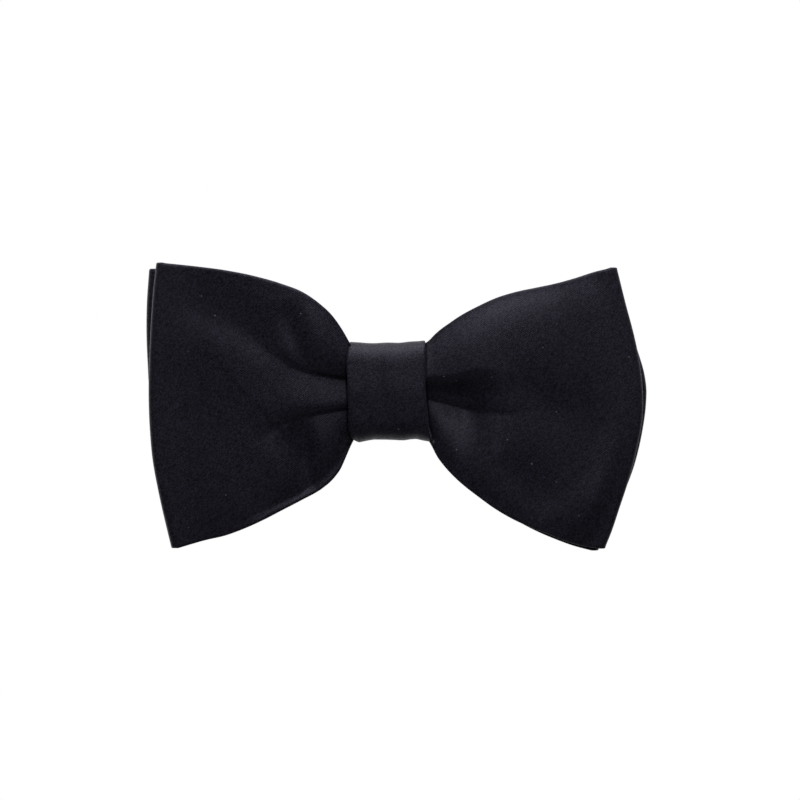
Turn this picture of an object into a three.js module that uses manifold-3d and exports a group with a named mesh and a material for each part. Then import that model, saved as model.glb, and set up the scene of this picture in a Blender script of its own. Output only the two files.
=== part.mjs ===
// Clip-on bow tie: two gathered loops of interlined satin, a knot band round their waist, and a
// stamped steel clip whose two sprung levers grip the leaves of a shirt collar.
//
// Millimetres. +X runs across the bow, -Y is the front that shows and +Z is up. The origin is in
// the plane where the collar is gripped, straight behind the middle of the knot.
import * as THREE from "three";
import { mergeVertices } from "three/addons/utils/BufferGeometryUtils.js";
import Module from "manifold-3d";

const wasm = await Module();
wasm.setup();

// ---------------------------------------------------------------- driving dimensions

// The bow, measured from the middle of the knot
const leftReach = 58;
const rightReach = 62.2;
const topRise = 31;
const bottomDrop = 38;

// Cloth
const satinT = 0.32; // one ply of satin
const interliningT = 0.6;
const clothEase = 0.22; // between a satin ply and the interlining inside it
const layGap = 0.45; // between pieces that lie on each other
const foldRadius = 1.3; // of the middle of the cloth where a loop turns back at its end
const pleatDepth = 0.6; // how far the waist's pleats stand out from their middle
const foldGap = 0.5; // between the front and the back loop at their folds
const seamGap = 0.6; // between the two ends of a loop's strip, which meet under the knot

// How far each panel's middle bows forward, from the front of the front loop to the back of the
// back loop
const puffs = [6, 1.2, 0.8, 0];
const puffEdgeLoss = 0.35; // share of that puff which is gone at a panel's top and bottom edges

// Knot band
const bandWidth = 20;
const bandHeight = 23.8;
const bandCorner = 3.2; // radius of its middle at the corners
const bandBulge = 0.9; // how far its front face swells
const bandLap = 5; // each end of the strip runs this far past the middle of the back

// Thread
const threadD = 0.45;
const bindingTurns = 4;
const bindingPitch = 1.6;
const stitchCount = 5;
const stitchPitch = 3.2;

// Clip
const steelT = 0.7;
const neckHalfHeight = 3.6; // of the plate where the band holds it
const plateHalfHeight = 5.4;
const jawHalfHeight = 4.2;
const hingeFromBand = 7.6; // out from the side of the knot band
const hingeY = 2.7;
const jawLength = 15.4; // from the hinge to the tip of the plate
const pinD = 1.2;
const pinClearance = 0.08; // round a pin, in its holes
const pinHeadR = 1.05;
const pinHeadT = 0.4;
const leverHalfWidth = 3.9;
const leverT = 0.6;
const earHalfLength = 2;
const padLength = 4.2; // the flat part of a lever that is pressed
const padClearance = 1.4; // between a pad and the side of the knot band
const padHeight = 7.2; // from the collar's plane to the back of that flat
const toothCount = 5;
const toothDepth = 1.1;
const tackHoleR = 0.5;
const tackHoleZ = 2.4;

// Springs
const wireD = 0.5;
const coilR = 1.55; // of the middle of the wire
const coilTurns = 3.5;
const springLeg = 4.4;

// ---------------------------------------------------------------- what follows from them

const hingeX = bandWidth / 2 + hingeFromBand;
const clipReach = hingeX + jawLength;
const panelT = interliningT + 2 * (clothEase + satinT);
const bindingRoom = threadD + layGap;
const wingStart = bandWidth / 2 + 0.4;
const foldReach = foldRadius + panelT / 2; // from the end of a panel to the outside of its fold

// Panels at the waist, front to back: how high half of each is, and where its middle lies
const waistHalf = bandHeight / 2 - 1.5 * panelT - bindingRoom;
const outerWaistHalf = waistHalf - panelT / 2;
const waistHalves = [outerWaistHalf, waistHalf, waistHalf, outerWaistHalf];
const backPanelY = -steelT - bindingRoom - pleatDepth - panelT / 2;
const waistYs = [3, 2, 1, 0].map((n) => backPanelY - n * (panelT + layGap));

// The two loops' folds, front and back
const backFoldY = -foldReach - 0.9;
const frontFoldY = backFoldY - 2 * foldReach - foldGap;
const foldYs = [
  frontFoldY - foldRadius,
  frontFoldY + foldRadius,
  backFoldY - foldRadius,
  backFoldY + foldRadius,
];

// The ring of the knot band: the middle of its cloth
const bandFrontY = waistYs[0] - pleatDepth - panelT / 2 - bindingRoom - panelT / 2;
const bandInnerBackY = layGap + panelT / 2;
const bandOuterBackY = bandInnerBackY + panelT + layGap;
const bandMidZ = bandHeight / 2 - panelT / 2;

// ---------------------------------------------------------------- materials

const satin = new THREE.MeshStandardMaterial({ color: 0x1e1c24, roughness: 0.62, metalness: 0 });
const felt = new THREE.MeshStandardMaterial({ color: 0x2b2b2e, roughness: 0.95, metalness: 0 });
const thread = new THREE.MeshStandardMaterial({ color: 0x151418, roughness: 0.6, metalness: 0 });
const nickel = new THREE.MeshStandardMaterial({ color: 0xb9b6ae, roughness: 0.28, metalness: 1 });
const springSteel = new THREE.MeshStandardMaterial({ color: 0x8f9092, roughness: 0.35, metalness: 1 });

// ---------------------------------------------------------------- solids

// A closed geometry as a manifold-3d solid
function solid(geometry) {
  const bare = new THREE.BufferGeometry().setAttribute("position", geometry.attributes.position);
  const merged = mergeVertices(bare.setIndex(geometry.index), 1e-4);
  const made = new wasm.Manifold(
    new wasm.Mesh({
      numProp: 3,
      vertProperties: merged.attributes.position.array,
      triVerts: new Uint32Array(merged.index.array),
    }),
  );
  return made;
}

// A manifold-3d solid as a geometry
function geometryOf(made) {
  const mesh = made.getMesh();
  const positions = new Float32Array(mesh.numVert * 3);
  for (let i = 0; i < mesh.numVert; i++) {
    const from = i * mesh.numProp;
    positions.set(mesh.vertProperties.subarray(from, from + 3), i * 3);
  }
  return new THREE.BufferGeometry()
    .setAttribute("position", new THREE.BufferAttribute(positions, 3))
    .setIndex(new THREE.BufferAttribute(mesh.triVerts, 1));
}

function box(x0, x1, y0, y1, z0, z1) {
  const made = new THREE.BoxGeometry(x1 - x0, y1 - y0, z1 - z0);
  return solid(made.translate((x0 + x1) / 2, (y0 + y1) / 2, (z0 + z1) / 2));
}

// A cylinder along Z from z0 to z1
function rod(x, y, radius, z0, z1, sides = 16) {
  const made = new THREE.CylinderGeometry(radius, radius, z1 - z0, sides);
  return solid(made.rotateX(Math.PI / 2).translate(x, y, (z0 + z1) / 2));
}

// A shape drawn in X and Y, extruded along Z from z0 to z1
function slab(shape, z0, z1, curveSegments = 6) {
  const made = new THREE.ExtrudeGeometry(shape, {
    depth: z1 - z0,
    bevelEnabled: false,
    curveSegments,
  });
  return solid(made.translate(0, 0, z0));
}

function named(name, geometry, material) {
  const mesh = new THREE.Mesh(geometry, material);
  mesh.name = name;
  return mesh;
}

// A thread or wire along a curve
function strand(curve, diameter, steps, sides = 6) {
  const ring = new THREE.Shape();
  for (let i = 0; i < sides; i++) {
    const angle = (2 * Math.PI * i) / sides;
    const x = (diameter / 2) * Math.cos(angle);
    const y = (diameter / 2) * Math.sin(angle);
    if (i === 0) ring.moveTo(x, y);
    else ring.lineTo(x, y);
  }
  ring.closePath();
  return new THREE.ExtrudeGeometry(ring, { steps, extrudePath: curve, bevelEnabled: false });
}

// ---------------------------------------------------------------- interlined strips

// A strip is a grid of points in the middle of its cloth: one row for each station along it, each
// row running across its width. Its sections stand off from that middle on both sides and past
// both edges by the same distance. A whole row shares one direction along the strip, since at the
// knot the edges flare out almost straight across it.
const centre = (row) =>
  row.reduce((sum, point) => sum.add(point), new THREE.Vector3()).divideScalar(row.length);

function sections(grid, off) {
  const last = grid[0].length - 1;
  return grid.map((row, i) => {
    const before = centre(grid[Math.max(i - 1, 0)]);
    const along = centre(grid[Math.min(i + 1, grid.length - 1)]).sub(before);
    const across = (j) =>
      row[Math.min(j + 1, last)].clone().sub(row[Math.max(j - 1, 0)]).normalize();
    const sides = row.map((_, j) => along.clone().cross(across(j)).setLength(off));
    const front = row.map((point, j) => point.clone().add(sides[j]));
    const back = row.map((point, j) => point.clone().sub(sides[j])).reverse();
    const topEdge = row[last].clone().addScaledVector(across(last), off);
    const bottomEdge = row[0].clone().addScaledVector(across(0), -off);
    return [...front, topEdge, ...back, bottomEdge];
  });
}

// The same grid with its first and last stations drawn in along the strip
function drawnIn(grid, share) {
  const rows = grid.map((row) => row.map((point) => point.clone()));
  const end = rows.length - 1;
  rows[0].forEach((point, j) => point.lerp(rows[1][j], share));
  rows[end].forEach((point, j) => point.lerp(rows[end - 1][j], share));
  return rows;
}

// Triangles between neighbouring sections, whose points start at number first. Front and back are
// split along the same diagonals, so the cloth keeps its thickness where it twists.
function sideTriangles(rows, ring, first) {
  const triangles = [];
  for (let i = 0; i < rows - 1; i++) {
    for (let k = 0; k < ring; k++) {
      const a = first + i * ring + k;
      const b = first + i * ring + ((k + 1) % ring);
      const c = a + ring;
      const d = b + ring;
      if (k < ring / 2) triangles.push([a, d, b], [a, c, d]);
      else triangles.push([a, c, b], [b, c, d]);
    }
  }
  return triangles;
}

const turned = (triangles) => triangles.map(([a, b, c]) => [a, c, b]);

function shell(points, triangles) {
  const made = new THREE.BufferGeometry().setFromPoints(points);
  return solid(made.setIndex(triangles.flat()));
}

// The satin of a strip: a flat tube, open at both ends
function satinTube(grid) {
  const outer = sections(grid, panelT / 2);
  const inner = sections(grid, panelT / 2 - satinT);
  const ring = outer[0].length;
  const innerFirst = grid.length * ring;
  const rim = (first) => {
    const triangles = [];
    for (let k = 0; k < ring; k++) {
      const a = first + k;
      const b = first + ((k + 1) % ring);
      triangles.push([a, b, innerFirst + b], [a, innerFirst + b, innerFirst + a]);
    }
    return triangles;
  };
  return shell([...outer, ...inner].flat(), [
    ...sideTriangles(grid.length, ring, 0),
    ...turned(sideTriangles(grid.length, ring, innerFirst)),
    ...rim(0),
    ...turned(rim(innerFirst - ring)),
  ]);
}

// The interlining that lies in that tube
function interlining(grid) {
  const rows = sections(drawnIn(grid, 0.4), interliningT / 2);
  const ring = rows[0].length;
  const topEdge = ring / 2 - 1;
  // point k of the front faces point ring - 2 - k of the back, and the last point is the bottom edge
  const cap = (first) => {
    const triangles = [[first + ring - 1, first, first + ring - 2]];
    for (let k = 0; k < topEdge; k++) {
      const [a, b, c, d] = [k, k + 1, ring - 3 - k, ring - 2 - k].map((n) => first + n);
      triangles.push([a, b, d]);
      if (b !== c) triangles.push([b, c, d]);
    }
    return triangles;
  };
  return shell(rows.flat(), [
    ...sideTriangles(rows.length, ring, 0),
    ...cap(0),
    ...turned(cap((rows.length - 1) * ring)),
  ]);
}

// ---------------------------------------------------------------- the loops of the bow

// Outlines of the wings as the front shows them. Each point is [share of the way from the knot to
// the outermost point of the fold, share of the rise or the drop].
const frontWings = {
  left: {
    reach: leftReach,
    top: [[0.03, 0.45], [0.07, 0.57], [0.16, 0.71], [0.3, 0.82], [0.6, 0.93]],
    bottom: [[0.03, 0.42], [0.07, 0.54], [0.17, 0.66], [0.38, 0.8], [0.65, 0.92]],
    fold: [[0.87, 0.99, -1], [0.95, 0.66, -1], [0.99, 0.2, -1], [0.985, 0.45, 1], [0.95, 1, 1]],
  },
  right: {
    reach: rightReach,
    top: [[0.03, 0.44], [0.1, 0.54], [0.22, 0.66], [0.38, 0.76], [0.62, 0.84]],
    bottom: [[0.03, 0.41], [0.09, 0.51], [0.22, 0.67], [0.43, 0.84], [0.7, 0.95]],
    fold: [[0.83, 1, -1], [0.93, 0.55, -1], [0.985, 0.12, -1], [0.965, 0.3, 1], [0.87, 0.95, 1]],
  },
};
const backWings = {
  left: {
    ...frontWings.left,
    fold: [[0.86, 0.97, -1], [0.94, 0.64, -1], [0.985, 0.2, -1], [1, 0.45, 1], [0.985, 0.955, 1]],
  },
  right: {
    ...frontWings.right,
    fold: [[0.79, 1.01, -1], [0.91, 0.6, -1], [1, 0.03, -1], [0.975, 0.28, 1], [0.85, 0.93, 1]],
  },
};

// The outline of one wing as curves in X and Z, drawn in by the thickness that stands past them
function outline(wing, half) {
  const span = wing.reach - foldReach - wingStart;
  const place = (share, height) =>
    new THREE.Vector2(wingStart + share * span, height - Math.sign(height) * (panelT / 2));
  const rise = ([share, part]) => place(share, part * topRise);
  const drop = ([share, part]) => place(share, -part * bottomDrop);
  const foldPoints = wing.fold.map(([share, part, side]) =>
    side > 0 ? rise([share, part]) : drop([share, part]),
  );
  return {
    top: new THREE.SplineCurve([
      new THREE.Vector2(wingStart, half),
      ...wing.top.map(rise),
      foldPoints.at(-1),
    ]),
    bottom: new THREE.SplineCurve([
      new THREE.Vector2(wingStart, -half),
      ...wing.bottom.map(drop),
      foldPoints[0],
    ]),
    fold: new THREE.SplineCurve(foldPoints),
    half,
  };
}

// A point of the patch between those curves (a Coons patch): along is 0 at the knot and 1 at the
// fold, up is 0 at the bottom edge and 1 at the top edge
function patch(curves, along, up) {
  const point = curves.bottom.getPointAt(along).multiplyScalar(1 - up);
  point.addScaledVector(curves.top.getPointAt(along), up);
  const knot = new THREE.Vector2(wingStart, (2 * up - 1) * curves.half);
  point.addScaledVector(knot, 1 - along);
  point.addScaledVector(curves.fold.getPointAt(up), along);
  point.x -= (1 - along) * wingStart;
  point.y -= (1 - along) * knot.y;
  point.addScaledVector(curves.bottom.getPointAt(1), -along * (1 - up));
  point.addScaledVector(curves.top.getPointAt(1), -along * up);
  return point;
}

const smooth = (t) => {
  const x = Math.min(Math.max(t, 0), 1);
  return x * x * (3 - 2 * x);
};
// Rises quickly from the knot, is fullest a third of the way out and lies flat at the fold
const puffShape = (along) => 6.75 * along * (1 - along) ** 2 * smooth(along / 0.25);
// Pleats: valleys a third of the way up and down, which fade out along the wing
const pleat = (along, up) => Math.cos(3 * Math.PI * (2 * up - 1)) * (1 - smooth(along / 0.45));

const ups = [0, 1, 2, 3, 4, 5, 6].map((n) => n / 6);
const alongs = [0, 0.05, 0.12, 0.22, 0.36, 0.52, 0.7, 0.86, 1];

// How far back a panel's middle lies at a point of the patch
function panelY(panel, along, up) {
  const level = THREE.MathUtils.lerp(waistYs[panel], foldYs[panel], smooth(along));
  const puff = puffs[panel] * puffShape(along) * (1 - puffEdgeLoss * (2 * up - 1) ** 2);
  return level - puff - pleatDepth * pleat(along, up);
}

// One panel of one wing, from the knot to the fold; side is -1 on the left
function panelRows(curves, panel, side) {
  return alongs.map((along) =>
    ups.map((up) => {
      const { x, y: z } = patch(curves, along, up);
      return new THREE.Vector3(side * x, panelY(panel, along, up), z);
    }),
  );
}

// The half turn at the end of a wing, from its front panel to its back panel
function foldRows(curves, foldY, side) {
  return [1, 2, 3].map((n) => {
    const angle = (n * Math.PI) / 4;
    return ups.map((up) => {
      const { x, y: z } = curves.fold.getPointAt(up);
      const out = x + foldRadius * Math.sin(angle);
      return new THREE.Vector3(side * out, foldY - foldRadius * Math.cos(angle), z);
    });
  });
}

// A loop's strip: from the seam under the knot, out along the left back panel, round the fold,
// across the front, round the right fold and back to the seam
function loopGrid(wings, frontPanel, foldY) {
  const backPanel = frontPanel + 1;
  const left = outline(wings.left, waistHalves[frontPanel]);
  const right = outline(wings.right, waistHalves[frontPanel]);
  const leftBack = outline(wings.left, waistHalves[backPanel]);
  const rightBack = outline(wings.right, waistHalves[backPanel]);
  const seam = (x) =>
    ups.map((up) => {
      const z = (2 * up - 1) * waistHalves[backPanel];
      return new THREE.Vector3(x, panelY(backPanel, 0, up), z);
    });
  return [
    seam(-seamGap / 2),
    ...panelRows(leftBack, backPanel, -1),
    ...foldRows(left, foldY, -1).reverse(),
    ...panelRows(left, frontPanel, -1).reverse(),
    ...panelRows(right, frontPanel, 1),
    ...foldRows(right, foldY, 1),
    ...panelRows(rightBack, backPanel, 1).reverse(),
    seam(seamGap / 2),
  ];
}

const frontGrid = loopGrid(frontWings, 0, frontFoldY);
const backGrid = loopGrid(backWings, 2, backFoldY);

// ---------------------------------------------------------------- knot band

// The band's middle in Y and Z: up the inside of the back, over the top, down the front, under
// the bottom and up over its own first end
function bandPath() {
  const r = bandCorner;
  const outerR = r + (bandOuterBackY - bandInnerBackY) / 2;
  const path = new THREE.Path();
  path.moveTo(bandInnerBackY, -bandLap);
  path.lineTo(bandInnerBackY, bandMidZ - r);
  path.absarc(bandInnerBackY - r, bandMidZ - r, r, 0, Math.PI / 2, false);
  path.lineTo(bandFrontY + r, bandMidZ);
  path.absarc(bandFrontY + r, bandMidZ - r, r, Math.PI / 2, Math.PI, false);
  path.quadraticCurveTo(bandFrontY - 2 * bandBulge, 0, bandFrontY, r - bandMidZ);
  path.absarc(bandFrontY + r, r - bandMidZ, r, Math.PI, 1.5 * Math.PI, false);
  path.lineTo(bandOuterBackY - outerR, -bandMidZ);
  path.absarc(bandOuterBackY - outerR, outerR - bandMidZ, outerR, 1.5 * Math.PI, 2 * Math.PI, false);
  path.lineTo(bandOuterBackY, bandLap);
  return path;
}

const bandAcross = [-1, -1 / 3, 1 / 3, 1];
const bandHalf = bandWidth / 2 - panelT / 2;
const bandGrid = bandPath()
  .getPoints(5)
  .filter((point, i, all) => i === 0 || point.distanceTo(all[i - 1]) > 1e-3)
  .map(({ x, y }) => bandAcross.map((share) => new THREE.Vector3(share * bandHalf, x, y)));

// ---------------------------------------------------------------- threads

// Rounded rectangle in Y and Z, which a thread follows round what it binds
function hoop(y0, y1, halfZ, r) {
  const path = new THREE.Path();
  path.moveTo(y1, 0);
  path.lineTo(y1, halfZ - r);
  path.absarc(y1 - r, halfZ - r, r, 0, Math.PI / 2, false);
  path.lineTo(y0 + r, halfZ);
  path.absarc(y0 + r, halfZ - r, r, Math.PI / 2, Math.PI, false);
  path.lineTo(y0, r - halfZ);
  path.absarc(y0 + r, r - halfZ, r, Math.PI, 1.5 * Math.PI, false);
  path.lineTo(y1 - r, -halfZ);
  path.absarc(y1 - r, r - halfZ, r, 1.5 * Math.PI, 2 * Math.PI, false);
  path.lineTo(y1, 0);
  return path;
}

// Thread wound round the gathered waist, under the knot band
function bindingThread() {
  const off = bindingRoom / 2;
  const front = waistYs[0] - pleatDepth - panelT / 2 - off;
  const back = -steelT - off;
  const turn = hoop(front, back, waistHalf + panelT / 2 + off, panelT);
  const perTurn = 28;
  const points = [];
  for (let i = 0; i <= bindingTurns * perTurn; i++) {
    const { x: y, y: z } = turn.getPointAt((i % perTurn) / perTurn);
    const x = (i / perTurn - bindingTurns / 2) * bindingPitch;
    points.push(new THREE.Vector3(x, y, z));
  }
  return strand(new THREE.CatmullRomCurve3(points), threadD, points.length - 1);
}

// Overcast stitches that hold the band's outer end down to the layer under it
function closingStitches() {
  const off = threadD / 2 + 0.1;
  const outer = bandOuterBackY + panelT / 2 + off;
  const inner = bandInnerBackY + panelT / 2 + off;
  const edge = bandLap + panelT / 2 + off;
  const points = [];
  for (let n = 0; n < stitchCount; n++) {
    const x = (n - (stitchCount - 1) / 2) * stitchPitch;
    const step = stitchPitch / 8;
    points.push(new THREE.Vector3(x - 3 * step, outer, bandLap - 1.5));
    points.push(new THREE.Vector3(x - 2 * step, outer, bandLap + 0.2));
    points.push(new THREE.Vector3(x - step, (outer + inner) / 2, edge + 0.25));
    points.push(new THREE.Vector3(x, inner, edge + 0.9));
    points.push(new THREE.Vector3(x + step, (outer + inner) / 2, edge + 0.25));
    points.push(new THREE.Vector3(x + 2 * step, outer, bandLap + 0.2));
    points.push(new THREE.Vector3(x + 3 * step, outer, bandLap - 1.5));
  }
  return strand(new THREE.CatmullRomCurve3(points), threadD, 2 * points.length);
}

// A closed stitch through the two small holes beside the neck of the clip plate
const tackX = bandWidth / 2 + 1.6;
function tackStitch(side) {
  const off = bindingRoom / 2;
  const turn = hoop(-steelT - off, off, tackHoleZ, off);
  const points = turn.getSpacedPoints(16).slice(0, -1);
  const curve = new THREE.CatmullRomCurve3(
    points.map(({ x, y }) => new THREE.Vector3(side * tackX, x, y)),
    true,
  );
  return new THREE.TubeGeometry(curve, 20, threadD / 2, 6, true);
}

// ---------------------------------------------------------------- clip

const earInner = leverHalfWidth + layGap; // the plate's ears stand outside the lever's
const earOuter = earInner + steelT;
const holeR = pinD / 2 + pinClearance;
const jawX = clipReach - steelT - layGap - leverT; // where a lever's row of teeth starts

// Rounded ear round a hinge hole, from the sheet at sheetY to round the pin
function ear(sheetY, z0, z1) {
  const top = earHalfLength;
  const shape = new THREE.Shape();
  shape.moveTo(hingeX - top, sheetY);
  shape.lineTo(hingeX - top, hingeY);
  shape.absarc(hingeX, hingeY, top, Math.PI, sheetY < hingeY ? 0 : 2 * Math.PI, sheetY < hingeY);
  shape.lineTo(hingeX + top, sheetY);
  shape.closePath();
  return slab(shape, z0, z1);
}

// A row of teeth in Y and Z that points from rootY to tipY, thick along X from x0 to x1
function teeth(x0, x1, rootY, tipY, halfZ) {
  const shape = new THREE.Shape();
  const pitch = (2 * halfZ) / toothCount;
  const neckY = tipY + (rootY > tipY ? toothDepth : -toothDepth);
  shape.moveTo(-halfZ, rootY);
  for (let n = 0; n < toothCount; n++) {
    const z = -halfZ + n * pitch;
    shape.lineTo(z, neckY);
    shape.lineTo(z + pitch / 2, tipY);
  }
  shape.lineTo(halfZ, neckY);
  shape.lineTo(halfZ, rootY);
  shape.closePath();
  const made = new THREE.ExtrudeGeometry(shape, { depth: x1 - x0, bevelEnabled: false });
  // the shape's X, Y and depth become the part's Z, Y and -X
  return solid(made.rotateY(-Math.PI / 2).translate(x1, 0, 0));
}

// The stamped plate: a neck that the band holds, two arms with ears, and toothed ends
function clipPlate() {
  const neckEnd = bandWidth / 2 + 0.3;
  const armEnd = hingeX + earHalfLength + 1;
  const shape = new THREE.Shape();
  shape.moveTo(neckEnd, -neckHalfHeight);
  shape.quadraticCurveTo(neckEnd + 1, -plateHalfHeight, neckEnd + 2.2, -plateHalfHeight);
  shape.lineTo(armEnd, -plateHalfHeight);
  shape.lineTo(clipReach - 1.2, -jawHalfHeight);
  shape.quadraticCurveTo(clipReach, -jawHalfHeight, clipReach, 1.2 - jawHalfHeight);
  shape.lineTo(clipReach, jawHalfHeight - 1.2);
  shape.quadraticCurveTo(clipReach, jawHalfHeight, clipReach - 1.2, jawHalfHeight);
  shape.lineTo(armEnd, plateHalfHeight);
  shape.lineTo(neckEnd + 2.2, plateHalfHeight);
  shape.quadraticCurveTo(neckEnd + 1, plateHalfHeight, neckEnd, neckHalfHeight);
  shape.lineTo(-0.01, neckHalfHeight);
  shape.lineTo(-0.01, -neckHalfHeight);
  shape.closePath();
  const flat = new THREE.ExtrudeGeometry(shape, {
    depth: steelT,
    bevelEnabled: false,
    curveSegments: 4,
  });
  // the shape lies in X and Z, with its back face in the collar's plane
  let arm = solid(flat.rotateX(Math.PI / 2));
  for (const z0 of [earInner, -earOuter]) {
    arm = arm.add(ear(-steelT / 2, z0, z0 + steelT));
  }
  arm = arm.subtract(rod(hingeX, hingeY, holeR, -earOuter - 1, earOuter + 1));
  arm = arm.add(teeth(clipReach - steelT, clipReach, -steelT / 2, toothDepth + 0.2, jawHalfHeight - 1.2));
  for (const z of [tackHoleZ, -tackHoleZ]) {
    const hole = new THREE.CylinderGeometry(tackHoleR, tackHoleR, 3 * steelT, 12);
    arm = arm.subtract(solid(hole.translate(tackX, 0, z)));
  }
  return arm.add(arm.mirror([1, 0, 0]));
}

// The lever: a bent strip with a flat pad to press, two ears on the pin and a toothed jaw
function lever() {
  const padEnd = bandWidth / 2 + padClearance;
  const knee = padEnd + padLength;
  const crown = hingeY + coilR + wireD / 2 + 0.25; // clears the spring under it
  const middle = [
    [padEnd, padHeight - leverT],
    [knee, padHeight - leverT],
    [hingeX - 0.6, crown],
    [hingeX + earHalfLength, crown - 0.25],
    [jawX - 2.6, 1.5],
    [jawX + leverT, toothDepth + 0.1],
  ];
  const shape = new THREE.Shape();
  middle.forEach(([x, y], i) => (i ? shape.lineTo(x, y) : shape.moveTo(x, y)));
  [...middle].reverse().forEach(([x, y]) => shape.lineTo(x, y + leverT));
  shape.closePath();
  let made = slab(shape, -leverHalfWidth, leverHalfWidth);
  for (const z0 of [leverHalfWidth - leverT, -leverHalfWidth]) {
    made = made.add(ear(crown + leverT / 2, z0, z0 + leverT));
  }
  made = made.subtract(rod(hingeX, hingeY, holeR, -leverHalfWidth - 1, leverHalfWidth + 1));
  const tipZ = jawHalfHeight - 1.2;
  return made.add(teeth(jawX, jawX + leverT, toothDepth + 0.1 + leverT / 2, layGap / 2, tipZ));
}

// Pin with a head at each end, outside the plate's ears
function pivotPin() {
  const end = earOuter + 0.15;
  return rod(hingeX, hingeY, pinD / 2, -end - pinHeadT / 2, end + pinHeadT / 2)
    .add(rod(hingeX, hingeY, pinHeadR, end, end + pinHeadT))
    .add(rod(hingeX, hingeY, pinHeadR, -end - pinHeadT, -end));
}

// Torsion spring round the pin. One leg presses on the plate and the other under the pad.
function torsionSpring() {
  const points = [];
  const halfZ = (coilTurns * (wireD + 0.15)) / 2;
  const legEnd = hingeX - springLeg;
  const plateLeg = [legEnd, wireD / 2 + 0.1];
  const padLeg = [legEnd, hingeY + coilR + 0.9];
  points.push(new THREE.Vector3(plateLeg[0], plateLeg[1], -halfZ));
  points.push(new THREE.Vector3(hingeX - springLeg / 2, (plateLeg[1] + hingeY - coilR) / 2, -halfZ));
  const perTurn = 12;
  for (let i = 0; i <= coilTurns * perTurn; i++) {
    const angle = -Math.PI / 2 + (2 * Math.PI * i) / perTurn;
    const z = -halfZ + (2 * halfZ * i) / (coilTurns * perTurn);
    points.push(
      new THREE.Vector3(hingeX + coilR * Math.cos(angle), hingeY + coilR * Math.sin(angle), z),
    );
  }
  points.push(new THREE.Vector3(hingeX - springLeg / 2, hingeY + coilR + 0.35, halfZ));
  points.push(new THREE.Vector3(padLeg[0], padLeg[1], halfZ));
  return strand(new THREE.CatmullRomCurve3(points), wireD, points.length - 1);
}

// ---------------------------------------------------------------- assembly

const bowTie = new THREE.Group();
bowTie.add(
  named("front_bow_satin", geometryOf(satinTube(frontGrid)), satin),
  named("front_bow_interlining", geometryOf(interlining(frontGrid)), felt),
  named("back_bow_satin", geometryOf(satinTube(backGrid)), satin),
  named("back_bow_interlining", geometryOf(interlining(backGrid)), felt),
  named("knot_band_satin", geometryOf(satinTube(bandGrid)), satin),
  named("knot_band_interlining", geometryOf(interlining(bandGrid)), felt),
  named("waist_binding_thread", bindingThread(), thread),
  named("knot_band_closing_stitches", closingStitches(), thread),
  named("clip_plate", geometryOf(clipPlate()), nickel),
);

// The right-hand clip parts, and the same parts mirrored on the left
const clipParts = {
  lever: [lever(), nickel],
  pivot_pin: [pivotPin(), nickel],
  spring: [solid(torsionSpring()), springSteel],
};
for (const [name, [made, material]] of Object.entries(clipParts)) {
  bowTie.add(named(`right_${name}`, geometryOf(made), material));
  bowTie.add(named(`left_${name}`, geometryOf(made.mirror([1, 0, 0])), material));
}
bowTie.add(named("right_tack_stitch", tackStitch(1), thread));
bowTie.add(named("left_tack_stitch", tackStitch(-1), thread));

export default bowTie;
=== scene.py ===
import math

import bpy
import numpy as np
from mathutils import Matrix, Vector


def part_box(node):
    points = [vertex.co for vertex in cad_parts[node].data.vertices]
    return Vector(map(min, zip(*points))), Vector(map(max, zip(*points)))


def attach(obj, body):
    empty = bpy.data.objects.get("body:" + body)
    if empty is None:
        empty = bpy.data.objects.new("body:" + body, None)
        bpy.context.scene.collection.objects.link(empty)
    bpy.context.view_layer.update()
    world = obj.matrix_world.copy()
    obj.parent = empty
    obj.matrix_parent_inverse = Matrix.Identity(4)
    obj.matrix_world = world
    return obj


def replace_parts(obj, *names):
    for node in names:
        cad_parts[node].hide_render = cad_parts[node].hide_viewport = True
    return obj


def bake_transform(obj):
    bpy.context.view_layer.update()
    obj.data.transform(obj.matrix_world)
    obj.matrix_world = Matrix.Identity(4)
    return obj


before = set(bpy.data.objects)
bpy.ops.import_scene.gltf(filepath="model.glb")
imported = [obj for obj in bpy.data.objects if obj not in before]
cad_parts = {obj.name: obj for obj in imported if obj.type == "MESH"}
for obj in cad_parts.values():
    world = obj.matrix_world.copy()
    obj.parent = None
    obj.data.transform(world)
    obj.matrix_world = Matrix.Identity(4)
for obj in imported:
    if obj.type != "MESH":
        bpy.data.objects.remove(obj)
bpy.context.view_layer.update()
mm = 0.001


def hexColour(text):
    # sRGB hex to the linear colour that a shader takes
    parts = [int(text[i:i + 2], 16) / 255 for i in (1, 3, 5)]
    return tuple(p / 12.92 if p <= 0.04045 else ((p + 0.055) / 1.055) ** 2.4 for p in parts) + (1.0,)


def smoothCurve(points, shares):
    # A cubic through the points: each span is a Hermite curve whose end slopes come from the
    # neighbouring points, and shares are parts of the length from point to point.
    p = np.array(points, float)
    knots = np.concatenate([[0], np.cumsum(np.linalg.norm(np.diff(p, axis=0), axis=1))])
    slopes = np.gradient(p, knots, axis=0)
    s = np.clip(np.asarray(shares, float), 0, 1) * knots[-1]
    i = np.clip(np.searchsorted(knots, s, side="right") - 1, 0, len(p) - 2)
    h = (knots[i + 1] - knots[i])[:, None]
    t = ((s - knots[i]) / h[:, 0])[:, None]
    return (
        (2 * t**3 - 3 * t**2 + 1) * p[i]
        + (t**3 - 2 * t**2 + t) * h * slopes[i]
        + (3 * t**2 - 2 * t**3) * p[i + 1]
        + (t**3 - t**2) * h * slopes[i + 1]
    )


def ramp(t, a, b):
    # 0 up to a, 1 from b on, and a smooth climb between them
    x = np.clip((t - a) / (b - a), 0, 1)
    return x * x * (3 - 2 * x)


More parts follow.
